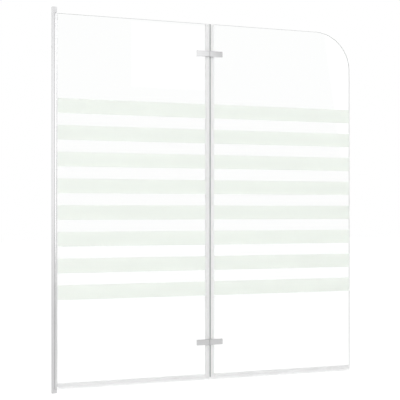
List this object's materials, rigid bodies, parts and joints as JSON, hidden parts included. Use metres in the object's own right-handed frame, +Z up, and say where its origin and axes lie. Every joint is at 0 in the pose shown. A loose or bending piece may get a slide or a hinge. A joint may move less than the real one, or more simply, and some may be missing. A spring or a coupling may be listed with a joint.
{
  "type": "folding bath screen",
  "caption": "Glass bath screen in a wall channel: one panel pivots in the channel and a second, round-cornered panel folds back on it, with frosted bands.",
  "frame": {"origin": "on the wall face, in the middle of the channel's depth, at the foot of the channel", "axes": "+X from the wall to the free edge, +Y through the glass from the plain hinge faces to the knuckles, +Z up"},
  "size_m": [1.2, 0.021, 1.4],
  "materials": {
    "profile_aluminium": "fine satin anodised, with drawn lines along its length",
    "bracket_metal": "satin die-cast",
    "hinge_metal": "satin, brushed along the leaf",
    "fastener_steel": "turned, bright",
    "clear_glass": "clear toughened glass with polished edges",
    "frosted_coat": "matt frosted coat",
    "clear_seal": "translucent soft plastic",
    "gasket_rubber": "pale soft gasket",
    "bulb_rubber": "grey soft bulb",
    "pad_rubber": "matt black pad",
    "nylon": "white nylon"
  },
  "bodies": {
    "wall_frame": {"wall_channel": "profile_aluminium", "head_bracket": "bracket_metal", "foot_bracket": "bracket_metal", "head_bush": "nylon", "foot_bush": "nylon", "bracket_screws": "fastener_steel"},
    "inner_panel": {"pivot_tube": "profile_aluminium", "head_plug": "bracket_metal", "foot_plug": "bracket_metal", "head_pivot_pin": "fastener_steel", "foot_pivot_pin": "fastener_steel", "plug_screws": "fastener_steel", "glazing_gaskets": "gasket_rubber", "inner_glass": "clear_glass", "inner_bands": "frosted_coat", "inner_fold_seal": "clear_seal", "inner_bottom_seal": "clear_seal", "upper_hinge_inner_front": "hinge_metal", "upper_hinge_inner_back": "hinge_metal", "lower_hinge_inner_front": "hinge_metal", "lower_hinge_inner_back": "hinge_metal", "upper_hinge_pin": "fastener_steel", "lower_hinge_pin": "fastener_steel", "hinge_washers": "nylon", "inner_hinge_pads": "pad_rubber", "inner_hinge_sleeves": "nylon", "inner_hinge_screws": "fastener_steel"},
    "outer_panel": {"outer_glass": "clear_glass", "outer_bands": "frosted_coat", "outer_fold_seal": "clear_seal", "fold_bulb": "bulb_rubber", "outer_bottom_seal": "clear_seal", "upper_hinge_outer_front": "hinge_metal", "upper_hinge_outer_back": "hinge_metal", "lower_hinge_outer_front": "hinge_metal", "lower_hinge_outer_back": "hinge_metal", "outer_hinge_pads": "pad_rubber", "outer_hinge_sleeves": "nylon", "outer_hinge_screws": "fastener_steel"}
  },
  "joints": [
    {"name": "wall_pivot", "type": "hinge", "parent": "wall_frame", "child": "inner_panel", "pos_m": [0.014, 0, 0], "axis": [0, 0, 1], "range_deg": [-90, 0]},
    {"name": "fold_hinge", "type": "hinge", "parent": "inner_panel", "child": "outer_panel", "pos_m": [0.601, 0.0084, 0], "axis": [0, 0, 1], "range_deg": [0, 180]}
  ]
}
